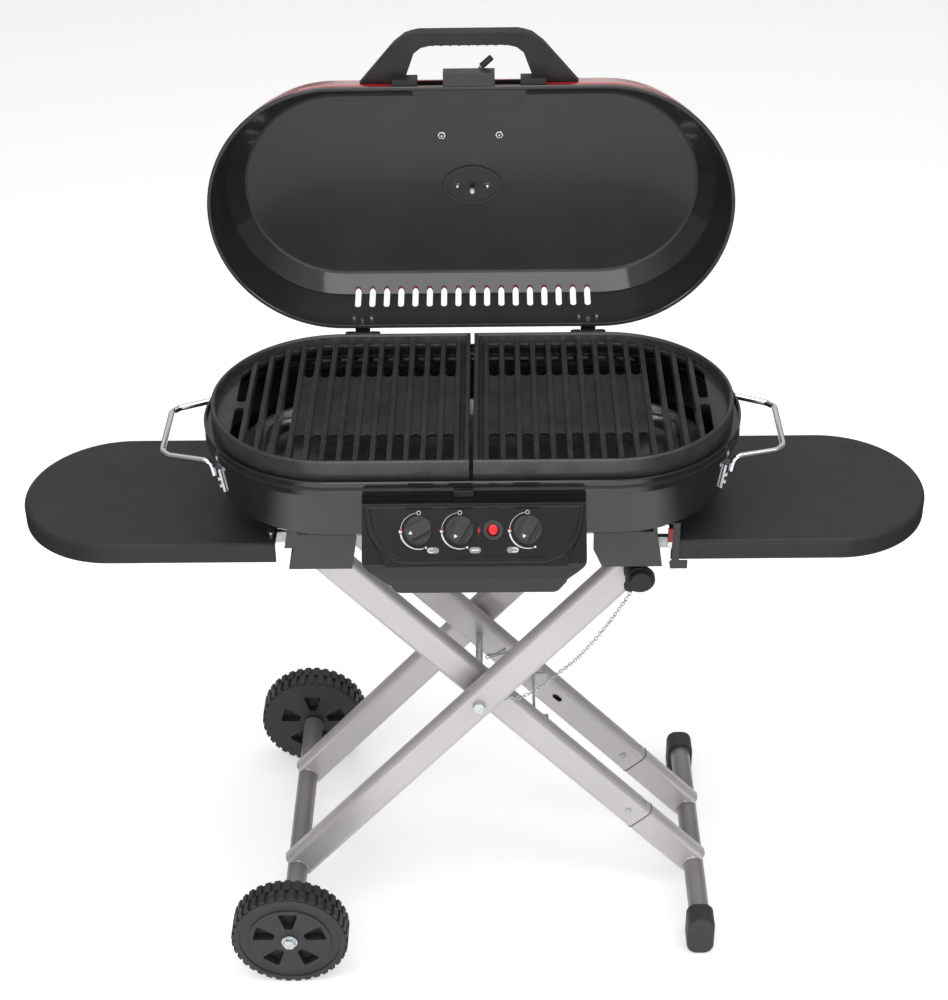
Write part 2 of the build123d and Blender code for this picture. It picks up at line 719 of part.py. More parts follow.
def outer_leg(s):
    reach = math.hypot(axle_x - pivot_x, pivot_z - axle_z)
    body = leg(-outer_up - leg_tall / 2, reach, True)
    body = cross_bores(body, [(-outer_up, bolt_r), (0, bolt_r + running)])
    body = leg_place(outer_angle, -1, s * outer_y) * body
    return body - rod_y(-300, 300, axle_x, axle_z, tube_r)


def foot_tube():
    return rod_y(-190, 190, foot_x, foot_z, tube_r) - rod_y(-191, 191, foot_x, foot_z, tube_r - 2)


def axle_tube():
    return rod_y(-207, 207, axle_x, axle_z, tube_r) - rod_y(-208, 208, axle_x, axle_z, axle_rod_r)


def foot_cap(s):
    """An oval plastic boot on the end of the foot tube."""
    boot = extrude(RectangleRounded(38, 66, 15), 33)
    boot = fillet(boot.faces().sort_by(Axis.Z)[-1].edges(), 5)
    boot = Pos(foot_x, -170, 33) * Rot(90, 0, 0) * boot
    boot -= rod_y(-190, -169, foot_x, foot_z, tube_r)
    return boot if s < 0 else mirror(boot, Plane.XZ)


def pivot_bolt():
    """The long bolt through all four legs."""
    reach = outer_y + leg_thick / 2
    shank = rod_y(-reach - 1, reach + 10, pivot_x, pivot_z, bolt_r)
    return shank + hex_y(-reach - 6.5, -reach - 0.3, pivot_x, pivot_z, 15)


def pivot_nut():
    reach = outer_y + leg_thick / 2
    nut = hex_y(reach + 0.3, reach + 8, pivot_x, pivot_z, 15)
    return nut - rod_y(reach, reach + 9, pivot_x, pivot_z, bolt_r)


def leg_spacers():
    """Plastic bushes that keep the inner and outer legs apart at the pivot."""
    y0 = inner_y + leg_thick / 2
    y1 = outer_y - leg_thick / 2
    made = []
    for s in (-1, 1):
        a, b = sorted((s * (y0 + 0.1), s * (y0 + 3.5)))
        made.append(rod_y(a, b, pivot_x, pivot_z, 11) - rod_y(a - 1, b + 1, pivot_x, pivot_z, bolt_r))
        a, b = sorted((s * (y1 - 3.5), s * (y1 - 0.1)))
        made.append(rod_y(a, b, pivot_x, pivot_z, 11) - rod_y(a - 1, b + 1, pivot_x, pivot_z, bolt_r))
    return made


def leg_brace():
    """A flat steel bar across the two inner legs."""
    along = 112
    x = pivot_x + along * math.cos(math.radians(inner_angle))
    z = pivot_z - along * math.sin(math.radians(inner_angle))
    face = inner_y - leg_thick / 2
    bar = block(x - 1.5, x + 1.5, -face, face, z - 12, z + 34)
    tabs = [block(x - 1.5, x + 20, *sorted((s * face, s * (face - 2.5))), z - 8, z + 12) for s in (-1, 1)]
    return bar + tabs[0] + tabs[1]


def outer_top_rod():
    """The rod through the outer legs' tops, which drops into the hooked ears."""
    rod = rod_y(-126, 126, outer_top_x, top_z, bolt_r)
    return rod + rod_y(-122, -117.5, outer_top_x, top_z, 7)


knob_x, knob_z = outer_top_x + 11.0, top_z + 4.0


def lock_lever():
    """A teardrop lever with a round hand knob that locks the outer legs up."""
    dx, dz = -13.5, -13
    big = rod_y(-136, -130.5, knob_x - 0.5, knob_z - 2.5, 19)
    small = rod_y(-136, -130.5, knob_x + dx, knob_z + dz, 7.5)
    return big + small - rod_y(-140, -120, knob_x, knob_z, stud_r + running)


def lock_knob():
    grip = rod_y(-146, -136, knob_x, knob_z, 14.6)
    grip = fillet(grip.edges().filter_by(lambda e: e.center().Y < -145), 2)
    return grip - rod_y(-140, -130, knob_x, knob_z, stud_r + running)


def lock_stud():
    return rod_y(-139.9, -111.2, knob_x, knob_z, stud_r)


def chain():
    """The path of the safety chain from the lock to the scissor pivot, as one bar."""
    count = 9
    start = (outer_top_x + 3, -121.0, top_z - 22)
    stop = (46.0, -79.0, 366.0)
    points = []
    for k in range(count):
        t = k / (count - 1)
        x = start[0] + (stop[0] - start[0]) * t
        y = start[1] + (stop[1] - start[1]) * min(1, 1.6 * t)
        z = stop[2] + (start[2] - stop[2]) * (1 - t) ** 1.75
        points.append((x, y, z))
    points.append((14.0, -79.0, 372.0))
    path = Spline(*points)
    return sweep(Plane(origin=path @ 0, z_dir=path % 0) * Circle(2.2), path=path)


# ---- wheels ----

def wheel(s):
    """A hard plastic wheel with two staggered rows of tread lugs and five pockets."""
    width = wheel_out - wheel_in
    lugs = 36
    rows = []
    for row in (0, 1):
        face = Circle(wheel_r - 3.4)
        for k in range(lugs):
            turn = (k + 0.5 * row) * 360 / lugs
            face += Rot(0, 0, turn) * Pos(0, wheel_r - 4) * Rectangle(8.2, 8)
        face = face & Circle(wheel_r)
        rows.append(Pos(0, 0, 1.5 + row * width / 2 - row * 1.0) * extrude(face, width / 2 - 2))
    body = rows[0] + rows[1] + extrude(Circle(wheel_r - 4.2), width)
    pocket = make_face(Polyline((-5, 22), (5, 22), (14, 50), (-14, 50), close=True))
    pocket = fillet(pocket.vertices(), 3)
    for k in range(5):
        cut = Rot(0, 0, 72 * k) * pocket
        body -= extrude(Pos(0, 0, -1) * cut, 15)
        body -= extrude(Pos(0, 0, width - 14) * cut, 15)
    dish = Circle(70) - Circle(57)
    body -= extrude(Pos(0, 0, width - 2) * dish, 3)
    body += Pos(0, 0, width - 1) * Cylinder(19, 3)
    body = body & Cylinder(200, 2 * width)
    body -= Cylinder(axle_rod_r + running, 3 * width)
    body = Pos(axle_x, -wheel_in, axle_z) * Rot(90, 0, 0) * body
    return body if s < 0 else mirror(body, Plane.XZ)


def axle_rod():
    return rod_y(-wheel_out - 1.5, wheel_out + 1.5, axle_x, axle_z, axle_rod_r)


def wheel_bolts():
    made = []
    for s in (-1, 1):
        a, b = sorted((s * (wheel_out + 0.7), s * (wheel_out + 2.2)))
        washer = rod_y(a, b, axle_x, axle_z, 11)
        c, d = sorted((s * (wheel_out + 2.2), s * (wheel_out + 8.0)))
        made.append(washer - rod_y(a - 1, b + 1, axle_x, axle_z, axle_rod_r) + hex_y(c, d, axle_x, axle_z, 15))
    return made


def wheel_washers():
    made = []
    for s in (-1, 1):
        a, b = sorted((s * 207.2, s * 211.6))
        made.append(rod_y(a, b, axle_x, axle_z, 12) - rod_y(a - 1, b + 1, axle_x, axle_z, axle_rod_r))
    return made


# ---- assembly ----

def build_parts():
    parts["firebox"] = firebox()
    parts["drip_tray"] = drip_tray()
    parts["grate_left"] = grate(-1)
    parts["grate_right"] = grate(1)
    parts["burner_left"] = u_burner(-1)
    parts["burner_right"] = u_burner(1)
    parts["burner_middle"] = straight_burner()
    parts["control_panel"] = control_panel()
    parts["panel_bezel"] = panel_bezel()
    for name in knob_xs:
        parts["knob_" + name] = knob(name)
    parts["gas_valves"] = group([valve(x) for x in knob_xs.values()])
    parts["gas_manifold"] = gas_manifold()
    parts["regulator"] = regulator()
    parts["igniter_button"] = igniter_button()
    parts["igniter_unit"] = group([igniter_body(), spark_electrode()])
    parts["lid_shell"] = lid_shell()
    parts["lid_liner"] = lid_liner()
    parts["lid_handle"] = lid_handle()
    parts["latch_housing"] = latch_housing()
    parts["latch_lever"], parts["latch_tip"] = latch_lever()
    parts["latch_catch"] = latch_catch()
    parts["thermometer_plate"] = thermometer_plate()
    parts["thermometer"] = thermometer()
    parts["dial_glass"] = dial_glass()
    parts["lid_plate"] = lid_plate()
    parts["lid_nuts"] = group([thermometer_nuts(), plate_screws()])
    parts["hinge_bases"] = group([part for x in hinge_xs for part in (hinge_base(x), hinge_pin(x))])
    parts["hinge_leaves"] = group([hinge_leaf(x) for x in hinge_xs])
    screws = [s for x in hinge_xs for s in hinge_screws(x)]
    parts["hinge_screws"] = opened(group(screws))
    parts["side_handles"] = group([side_handle(-1), side_handle(1)])
    parts["handle_feet"] = group([foot for side in (-1, 1) for foot in handle_feet(side)])
    for side, name in ((-1, "left"), (1, "right")):
        parts["table_" + name] = side_table(side)
        parts["table_rails_" + name] = table_rails(side)
        ears = bracket_ears(side)
        parts["leg_bracket_" + name] = group([leg_bracket(side)] + ears)
    parts["table_catch"] = table_catch()
    parts["catch_tab"] = catch_tab()
    parts["inner_top_pin"] = inner_top_pin()
    parts["inner_legs_upper"] = group([inner_leg_upper(-1), inner_leg_upper(1)])
    parts["inner_legs_lower"] = group([inner_leg_lower(-1), inner_leg_lower(1)])
    parts["leg_spigots"] = group([leg_spigot(-1), leg_spigot(1)])
    parts["leg_brace"] = leg_brace()
    parts["foot_tube"] = foot_tube()
    parts["foot_caps"] = group([foot_cap(-1), foot_cap(1)])
    parts["outer_legs"] = group([outer_leg(-1), outer_leg(1)])
    parts["axle_tube"] = axle_tube()
    parts["axle_rod"] = group([axle_rod()] + wheel_bolts() + wheel_washers())
    parts["pivot_bolt"] = group([pivot_bolt(), pivot_nut()])
    parts["leg_spacers"] = group(leg_spacers())
    parts["outer_top_rod"] = group([outer_top_rod(), lock_stud()])
    parts["lock_lever"] = lock_lever()
    parts["lock_knob"] = lock_knob()
    parts["chain"] = chain()
    parts["wheel_front"] = wheel(-1)
    parts["wheel_rear"] = wheel(1)


def write_parts():
    os.makedirs("parts", exist_ok=True)
    for name, solid in parts.items():
        export_step(Pos(0, head_y, 0) * solid, f"parts/{name}.step")


build_parts()
write_parts()
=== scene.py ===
import json
import math
import random

import bmesh
import bpy
from mathutils import Matrix, Vector


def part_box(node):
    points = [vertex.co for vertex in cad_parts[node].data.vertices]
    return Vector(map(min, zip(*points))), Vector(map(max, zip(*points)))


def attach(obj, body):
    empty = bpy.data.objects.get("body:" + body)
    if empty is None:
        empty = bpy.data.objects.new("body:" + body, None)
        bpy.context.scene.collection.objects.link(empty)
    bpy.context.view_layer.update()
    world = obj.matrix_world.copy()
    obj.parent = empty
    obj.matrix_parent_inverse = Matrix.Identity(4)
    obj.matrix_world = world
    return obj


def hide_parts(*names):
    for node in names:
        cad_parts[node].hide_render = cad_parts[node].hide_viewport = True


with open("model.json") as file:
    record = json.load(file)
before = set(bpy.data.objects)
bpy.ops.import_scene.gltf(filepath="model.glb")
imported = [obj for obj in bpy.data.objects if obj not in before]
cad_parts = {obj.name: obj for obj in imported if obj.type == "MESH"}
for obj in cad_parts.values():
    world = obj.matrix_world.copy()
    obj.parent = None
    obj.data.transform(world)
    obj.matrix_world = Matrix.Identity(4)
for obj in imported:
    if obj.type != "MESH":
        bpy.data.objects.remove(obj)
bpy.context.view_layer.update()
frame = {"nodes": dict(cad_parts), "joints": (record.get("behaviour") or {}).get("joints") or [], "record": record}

MM = 0.001
record = frame["record"]
joints = {j["name"]: j for j in frame["joints"]}
draws = random.Random(7)


# ---- materials ----

def node(tree, kind, **values):
    """Adds a shader node and fills its inputs by name."""
    made = tree.nodes.new(kind)
    for key, value in values.items():
        made.inputs[key.replace("_", " ")].default_value = value
    return made


def noise(tree, coord, scale, detail=4.0, stretch=None):
    """A noise pattern; scale is in waves per metre of the object's own space."""
    if stretch:
        mapping = tree.nodes.new("ShaderNodeMapping")
        mapping.inputs["Scale"].default_value = stretch
        tree.links.new(coord, mapping.inputs["Vector"])
        coord = mapping.outputs["Vector"]
    made = node(tree, "ShaderNodeTexNoise", Scale=scale, Detail=detail, Roughness=0.55)
    tree.links.new(coord, made.inputs["Vector"])
    return made.outputs["Fac"]


def remap(tree, value, low, high, start=0.3, stop=0.7):
    """Maps a value's start..stop onto low..high, and holds it there."""
    made = tree.nodes.new("ShaderNodeMapRange")
    for key, number in (("From Min", start), ("From Max", stop), ("To Min", low), ("To Max", high)):
        made.inputs[key].default_value = number
    tree.links.new(value, made.inputs["Value"])
    return made.outputs["Result"]


def maths(tree, operation, *values):
    """A maths node on sockets; returns its result."""
    made = tree.nodes.new("ShaderNodeMath")
    made.operation = operation
    for index, value in enumerate(values):
        tree.links.new(value, made.inputs[index])
    return made.outputs["Value"]


def source(tree, kind, output):
    """One output of a node that needs no inputs."""
    return tree.nodes.new(kind).outputs[output]


def axis_of(tree, vector, axis):
    """One axis of a vector socket."""
    split = tree.nodes.new("ShaderNodeSeparateXYZ")
    tree.links.new(vector, split.inputs["Vector"])
    return split.outputs[axis]


def blended(tree, factor, one, two):
    """Mixes two colours, each a tuple or a socket."""
    made = tree.nodes.new("ShaderNodeMix")
    made.data_type = "RGBA"
    for index, value in ((6, one), (7, two)):
        if isinstance(value, tuple):
            made.inputs[index].default_value = (*value, 1.0)
        else:
            tree.links.new(value, made.inputs[index])
    tree.links.new(factor, made.inputs[0])
    return made.outputs[2]


def finish_of(name, colour, rough, metal=0.0, coat=0.0, tone=0.12, tone_scale=14.0, smudge=0.06,
              grain=600.0, bump=0.15, deep=0.0001, edge=None, edge_width=0.0007, stretch=None,
              specular=0.5, coat_rough=0.06, flake=0.0, satin=None):
    """A procedural finish: mottled colour, uneven gloss, fine relief and worn edges."""
    material = bpy.data.materials.new(name)
    material.use_nodes = True
    tree = material.node_tree
    shader = tree.nodes["Principled BSDF"]
    coord = source(tree, "ShaderNodeTexCoord", "Object")
    light = tuple(min(1.0, c * (1 + tone)) for c in colour)
    dark = tuple(c * (1 - tone) for c in colour)
    base = blended(tree, remap(tree, noise(tree, coord, tone_scale), 0, 1), dark, light)
    if flake:
        sparkle = noise(tree, coord, 2600.0, detail=1.0)
        bright = tuple(min(1.0, c * (1 + flake)) for c in colour)
        base = blended(tree, remap(tree, sparkle, 0, 0.8, 0.58, 0.75), base, bright)
    bevel = node(tree, "ShaderNodeBevel", Radius=edge_width)
    bevel.samples = 4
    if edge:
        dot = tree.nodes.new("ShaderNodeVectorMath")
        dot.operation = "DOT_PRODUCT"
        tree.links.new(bevel.outputs["Normal"], dot.inputs[0])
        tree.links.new(source(tree, "ShaderNodeNewGeometry", "Normal"), dot.inputs[1])
        worn = remap(tree, dot.outputs["Value"], 0.75, 0.0, 0.86, 0.995)
        patch = remap(tree, noise(tree, coord, 90.0), 0.0, 1.0, 0.42, 0.62)
        base = blended(tree, maths(tree, "MULTIPLY", worn, patch), base, edge)
    tree.links.new(base, shader.inputs["Base Color"])
    gloss = noise(tree, coord, 32.0, detail=6.0, stretch=stretch)
    roughness = remap(tree, gloss, max(0.02, rough - smudge), rough + smudge)
    if satin:
        roughness = satin_across(tree, shader, roughness, *satin, coat)
    tree.links.new(roughness, shader.inputs["Roughness"])
    relief = tree.nodes.new("ShaderNodeBump")
    relief.inputs["Strength"].default_value = bump
    relief.inputs["Distance"].default_value = deep
    tree.links.new(noise(tree, coord, grain, detail=3.0, stretch=stretch), relief.inputs["Height"])
    tree.links.new(bevel.outputs["Normal"], relief.inputs["Normal"])
    tree.links.new(relief.outputs["Normal"], shader.inputs["Normal"])
    shader.inputs["Metallic"].default_value = metal
    shader.inputs["Specular IOR Level"].default_value = specular
    shader.inputs["Coat Weight"].default_value = coat
    shader.inputs["Coat Roughness"].default_value = coat_rough
    return material


def satin_across(tree, shader, roughness, rough, coat_share, coat):
    """Makes faces square to Y duller than the rest, as on a lid's flat inside; returns the roughness."""
    facing = axis_of(tree, source(tree, "ShaderNodeTexCoord", "Normal"), "Y")
    flat = remap(tree, maths(tree, "MULTIPLY", facing, facing), 0.0, 1.0, 0.9, 0.97)
    tree.links.new(remap(tree, flat, coat, coat * coat_share, 0.0, 1.0), shader.inputs["Coat Weight"])
    mixed = tree.nodes.new("ShaderNodeMix")
    mixed.inputs["B"].default_value = rough
    tree.links.new(roughness, mixed.inputs["A"])
    tree.links.new(flat, mixed.inputs["Factor"])
    return mixed.outputs["Result"]


def clear_glass(name):
    """Mostly clear, with the same faint smudges as the other finishes."""
    material = finish_of(name, (0.95, 0.97, 0.97), 0.04, tone=0.01, smudge=0.02, bump=0.02)
    shader = material.node_tree.nodes["Principled BSDF"]
    shader.inputs["Transmission Weight"].default_value = 0.92
    shader.inputs["IOR"].default_value = 1.3
    return material


GREY_WEAR = (0.11, 0.11, 0.112)
STREAK = (1.0, 1.0, 9.0)
finishes = {
    "gloss_black": finish_of("gloss_black", (0.012, 0.0115, 0.0125), 0.13, coat=0.55, smudge=0.04,
                             grain=260.0, bump=0.04, edge=(0.03, 0.03, 0.031)),
    "satin_black": finish_of("satin_black", (0.022, 0.022, 0.023), 0.36, edge=GREY_WEAR),
    "lid_red": finish_of("lid_red", (0.47, 0.006, 0.010), 0.2, coat=0.9, tone=0.05, smudge=0.04, grain=260.0,
                         bump=0.05, edge=(0.55, 0.02, 0.02)),
    "cast_enamel": finish_of("cast_enamel", (0.030, 0.029, 0.031), 0.34, coat=0.2, tone=0.22,
                             tone_scale=40.0, smudge=0.10, grain=420.0, bump=0.45, deep=0.0003,
                             edge=(0.11, 0.108, 0.112), edge_width=0.0014),
    "burner_steel": finish_of("burner_steel", (0.42, 0.38, 0.33), 0.4, metal=1.0, tone=0.3, smudge=0.14),
    "galvanised": finish_of("galvanised", (0.52, 0.53, 0.54), 0.38, metal=1.0, tone=0.22, tone_scale=60.0,
                            smudge=0.12),
    "panel_black": finish_of("panel_black", (0.007, 0.007, 0.0075), 0.14, coat=0.3, smudge=0.04, grain=200.0,
                             bump=0.03, edge=(0.05, 0.05, 0.052), specular=0.35),
    "knob_black": finish_of("knob_black", (0.030, 0.030, 0.032), 0.34, grain=1500.0, bump=0.25,
                            edge=GREY_WEAR),
    "handle_black": finish_of("handle_black", (0.017, 0.017, 0.018), 0.47, grain=1300.0, bump=0.5,
                              deep=0.00018, edge=(0.05, 0.05, 0.052), edge_width=0.0012, specular=0.3),
    "button_red": finish_of("button_red", (0.62, 0.010, 0.018), 0.22, coat=0.3, tone=0.06),
    "brass": finish_of("brass", (0.70, 0.50, 0.20), 0.28, metal=1.0, tone=0.14, stretch=STREAK),
    "gas_pipe": finish_of("gas_pipe", (0.58, 0.58, 0.59), 0.3, metal=1.0, tone=0.1),
    "zinc": finish_of("zinc", (0.66, 0.70, 0.72), 0.24, metal=1.0, tone=0.16, tone_scale=120.0, smudge=0.1),
    "chrome_wire": finish_of("chrome_wire", (0.84, 0.84, 0.85), 0.09, metal=1.0, tone=0.04, smudge=0.05,
                             bump=0.03),
    "dial_glass": clear_glass("dial_glass"),
    "table_charcoal": finish_of("table_charcoal", (0.023, 0.022, 0.0235), 0.46, tone=0.08, smudge=0.06,
                                grain=1100.0, bump=0.6, deep=0.0002, edge=(0.05, 0.049, 0.051),
                                edge_width=0.0015, specular=0.3),
    "bracket_grey": finish_of("bracket_grey", (0.036, 0.036, 0.038), 0.38, edge=(0.1, 0.1, 0.1)),
    "leg_silver": finish_of("leg_silver", (0.53, 0.515, 0.505), 0.34, metal=0.45, coat=0.25, tone=0.05,
                            tone_scale=7.0, smudge=0.05, grain=1500.0, bump=0.08, flake=0.35,
                            edge=(0.66, 0.65, 0.64), coat_rough=0.2),
    "foot_rubber": finish_of("foot_rubber", (0.028, 0.028, 0.029), 0.55, grain=900.0, bump=0.4, deep=0.0002,
                             edge=(0.06, 0.06, 0.06)),
    "wheel_plastic": finish_of("wheel_plastic", (0.025, 0.024, 0.024), 0.5, tone=0.16, tone_scale=50.0,
                               grain=700.0, bump=0.35, deep=0.0002, edge=(0.085, 0.083, 0.08)),
    "tip_rubber": finish_of("tip_rubber", (0.018, 0.018, 0.018), 0.6, grain=900.0, bump=0.4),
}
print_white = finish_of("print_white", (0.72, 0.72, 0.71), 0.4, tone=0.05)
print_grey = finish_of("print_grey", (0.24, 0.24, 0.24), 0.4, tone=0.06)
print_red = finish_of("print_red", (0.60, 0.02, 0.02), 0.35, tone=0.05)
dial_face = finish_of("dial_face", (0.78, 0.77, 0.74), 0.5, tone=0.04)
SATIN_ROUGH, SATIN_COAT_SHARE = 0.33, 0.15
lid_inside = finish_of("lid_inside", (0.021, 0.0195, 0.0205), 0.1, coat=0.6, smudge=0.03, grain=260.0,
                       bump=0.04, edge=(0.03, 0.03, 0.031), satin=(SATIN_ROUGH, SATIN_COAT_SHARE))
tab_plastic = finish_of("tab_plastic", (0.20, 0.012, 0.014), 0.42, smudge=0.06, grain=900.0, bump=0.2,
                        edge=(0.34, 0.05, 0.05))
tube_silver = finish_of("tube_silver", (0.27, 0.262, 0.255), 0.36, metal=0.45, coat=0.2, tone=0.1,
                        grain=700.0, bump=0.2, edge=(0.42, 0.41, 0.4))
weld_metal = finish_of("weld_metal", (0.56, 0.55, 0.54), 0.3, metal=0.6, tone=0.2, tone_scale=200.0, bump=0.4)

slot_of = {part["node"]: part["material_slot"] for part in record["subparts"]}
for name, thing in frame["nodes"].items():
    thing.data.materials.clear()
    thing.data.materials.append(finishes[slot_of[name]])
frame["nodes"]["lid_liner"].data.materials[0] = lid_inside
frame["nodes"]["leg_brace"].data.materials[0] = finishes["galvanised"]
frame["nodes"]["catch_tab"].data.materials[0] = tab_plastic
for tube in ("foot_tube", "axle_tube"):
    frame["nodes"][tube].data.materials[0] = tube_silver


# ---- building helpers ----

def piece(name, bm, body, slot, material=None, smooth=35.0):
    """Turns a bmesh in the row frame into a piece that rides on a body."""
    bmesh.ops.recalc_face_normals(bm, faces=bm.faces)
    mesh = bpy.data.meshes.new(name)
    bm.to_mesh(mesh)
    bm.free()
    made = bpy.data.objects.new(name, mesh)
    bpy.context.scene.collection.objects.link(made)
    mesh.materials.append(material or finishes[slot])
    mesh.shade_smooth()
    if smooth < 180:
        mesh.set_sharp_from_angle(angle=math.radians(smooth))
    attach(made, body)
    return made


def sweep_tube(bm, points, radius, sides=10, closed=False):
    """A round tube through points; radius is a number or one number per point."""
    radii = radius if isinstance(radius, list) else [radius] * len(points)
    count = len(points)
    side = None
    rings = []
    for k, point in enumerate(points):
        if closed:
            along = points[(k + 1) % count] - points[k - 1]
        else:
            along = points[min(k + 1, count - 1)] - points[max(k - 1, 0)]
        along.normalize()
        if side is None:
            side = along.orthogonal()
        side = (side - along * side.dot(along)).normalized()
        other = along.cross(side)
        ring = []
        for s in range(sides):
            a = 2 * math.pi * s / sides
            ring.append(bm.verts.new(point + (side * math.cos(a) + other * math.sin(a)) * radii[k]))
        rings.append(ring)
    for k in range(count if closed else count - 1):
        one, two = rings[k], rings[(k + 1) % count]
        shift = 0
        if closed and k == count - 1:
            shift = min(range(sides), key=lambda q: (two[q].co - one[0].co).length)
        for s in range(sides):
            t = (s + 1) % sides
            bm.faces.new((one[s], one[t], two[(t + shift) % sides], two[(s + shift) % sides]))
    if not closed:
        bm.faces.new(rings[0][::-1])
        bm.faces.new(rings[-1])


def plate(bm, outline, place, thick):
    """A thin flat plate: a closed outline in a local plane, raised by thick."""
    low = [bm.verts.new(place @ Vector((x, y, 0.0))) for x, y in outline]
    high = [bm.verts.new(place @ Vector((x, y, thick))) for x, y in outline]
    bm.faces.new(low[::-1])
    bm.faces.new(high)
    for k in range(len(outline)):
        n = (k + 1) % len(outline)
        bm.faces.new((low[k], low[n], high[n], high[k]))


def arc_points(radius, start, stop, steps):
    """Points on a circle; angles in degrees counter-clockwise from straight up."""
    made = []
    for k in range(steps + 1):
        a = math.radians(start + (stop - start) * k / steps)
        made.append((-radius * math.sin(a), radius * math.cos(a)))
    return made


def band(radius, start, stop, wide_start, wide_stop, steps=32):
    """A curved band that may widen along its length, as an outline."""
    outer, inner = [], []
    for k in range(steps + 1):
        t = k / steps
        half = (wide_start + (wide_stop - wide_start) * t) / 2
        angle = start + (stop - start) * t
        outer.append(arc_points(radius + half, angle, angle, 1)[0])
        inner.append(arc_points(radius - half, angle, angle, 1)[0])
    return outer + inner[::-1]


def pill(x, y, wide, tall, steps=10):
    """A round-ended bar, as an outline."""
    r = tall / 2
    right = [(x + wide / 2 - r + r * math.cos(a), y + r * math.sin(a))
             for a in (math.pi * (k / steps - 0.5) for k in range(steps + 1))]
    return right + [(2 * x - px, 2 * y - py) for px, py in right]


def disc(x, y, r, steps=20):
    """A circle, as an outline."""
    turns = [2 * math.pi * k / steps for k in range(steps)]
    return [(x + r * math.cos(a), y + r * math.sin(a)) for a in turns]


# ---- control panel marks ----

def panel_place(name):
    """The panel's local axes at a knob: x to the right, y up the panel, z outward."""
    joint = joints[name]
    out = Vector(joint["axis"]).normalized()
    right = Vector((1, 0, 0))
    up = out.cross(right)
    basis = Matrix((right, up, out)).transposed().to_4x4()
    return Matrix.Translation(Vector(joint["pos_m"])) @ basis


PRINT_THICK = 0.15 * MM
DIAL_R = 22.0 * MM
RING_R, RING_LINE = 2.25 * MM, 0.95 * MM
RING_PARTS = 20
PILL_LOW = -23.7 * MM
PILL_SIZE = (14.2 * MM, 7.5 * MM)
PILL_LINE = 1.4 * MM
BOW_R = 2.2 * MM
SPARK_ACROSS = 22.9 * MM
pill_across = {"left": 17.3 * MM, "middle": 18.2 * MM, "right": -18.3 * MM}


def dial_marks(white, red, place):
    """The arc from off, past high, to low, with its ring and dots."""
    plate(white, band(DIAL_R, 8, 84, 0.6 * MM, 0.7 * MM), place, PRINT_THICK)
    plate(white, band(DIAL_R, 99, 196, 2.3 * MM, 1.0 * MM), place, PRINT_THICK)
    ring = place @ Matrix.Translation((0, DIAL_R, 0))
    turn = 360 / RING_PARTS
    for k in range(RING_PARTS):
        plate(white, band(RING_R, turn * k, turn * (k + 1), RING_LINE, RING_LINE, 2), ring, PRINT_THICK)
    plate(white, disc(-DIAL_R, -0.6 * MM, 2.1 * MM), place, PRINT_THICK)
    plate(red, disc(-DIAL_R + 0.7 * MM, 1.1 * MM, 1.3 * MM), place, PRINT_THICK * 1.6)
    end_x, end_y = arc_points(DIAL_R, 203, 203, 1)[0]
    plate(white, disc(end_x, end_y, 1.5 * MM), place, PRINT_THICK)


def burner_sign(white, grey, place, side):
    """A pill showing which burner a knob serves: a U to one side, or a straight bar."""
    px = pill_across[side]
    plate(grey, pill(px, PILL_LOW, *PILL_SIZE), place, PRINT_THICK)
    if side == "middle":
        plate(white, pill(px, PILL_LOW, 9.0 * MM, 1.7 * MM), place, PRINT_THICK * 2)
        return
    turn = 1 if side == "left" else -1
    bow_x = px - turn * 4.0 * MM
    for y in (-BOW_R, BOW_R):
        arm = pill(bow_x + turn * 1.6 * MM, PILL_LOW + y, 5.0 * MM, PILL_LINE)
        plate(white, arm, place, PRINT_THICK * 2)
    bow = place @ Matrix.Translation((bow_x, PILL_LOW, 0))
    start = 0 if turn > 0 else 180
    plate(white, band(BOW_R, start, start + 180, PILL_LINE, PILL_LINE, 10), bow, PRINT_THICK * 2.2)


white, grey, red = bmesh.new(), bmesh.new(), bmesh.new()
for side in ("left", "middle", "right"):
    place = panel_place(f"knob_{side}_turn")
    dial_marks(white, red, place)
    burner_sign(white, grey, place, side)
spark = [(1.3, 5.6), (-2.3, -0.4), (-0.3, -0.4), (-1.3, -5.6), (2.5, 0.9), (0.5, 0.9)]
between = panel_place("knob_middle_turn") @ Matrix.Translation((SPARK_ACROSS, 0, 0))
plate(red, [(x * MM, y * MM) for x, y in spark], between, PRINT_THICK)
piece("panel_marks_white", white, "grill_head", "panel_black", print_white)
piece("panel_marks_grey", grey, "grill_head", "panel_black", print_grey)
piece("panel_marks_red", red, "grill_head", "panel_black", print_red)


# ---- knob pointers and grip edges ----

KNOB_TOP = 18.2 * MM
KNOB_DISC = 10.8 * MM
KNOB_TURNS = {"left": 117.0, "middle": 150.0, "right": 152.0}
RAIL_SUNK, RAIL_R = 0.2 * MM, 0.6 * MM
grip_lines = [(across, height, reach) for height, reach, half in ((KNOB_TOP, 13, 6.5), (KNOB_DISC, 11, 11.6))
              for across in (-half, half)]
for side, body in (("left", "knob_l"), ("middle", "knob_m"), ("right", "knob_r")):
    turned = panel_place(f"knob_{side}_turn") @ Matrix.Rotation(math.radians(KNOB_TURNS[side]), 4, "Z")
    pointer = bmesh.new()
    mark = [(0.0, 13.2 * MM), (-2.5 * MM, 8.8 * MM), (2.5 * MM, 8.8 * MM)]
    plate(pointer, mark, turned @ Matrix.Translation((0, 0, KNOB_TOP)), PRINT_THICK)
    piece(f"pointer_{side}", pointer, body, "knob_black", print_white)
    rails = bmesh.new()
    for x, z, reach in grip_lines:
        run = [turned @ Vector((x * MM, y * MM, z - RAIL_SUNK)) for y in range(-reach, reach + 1, 2)]
        sweep_tube(rails, run, RAIL_R, 8)
    piece(f"grip_rails_{side}", rails, body, "knob_black")


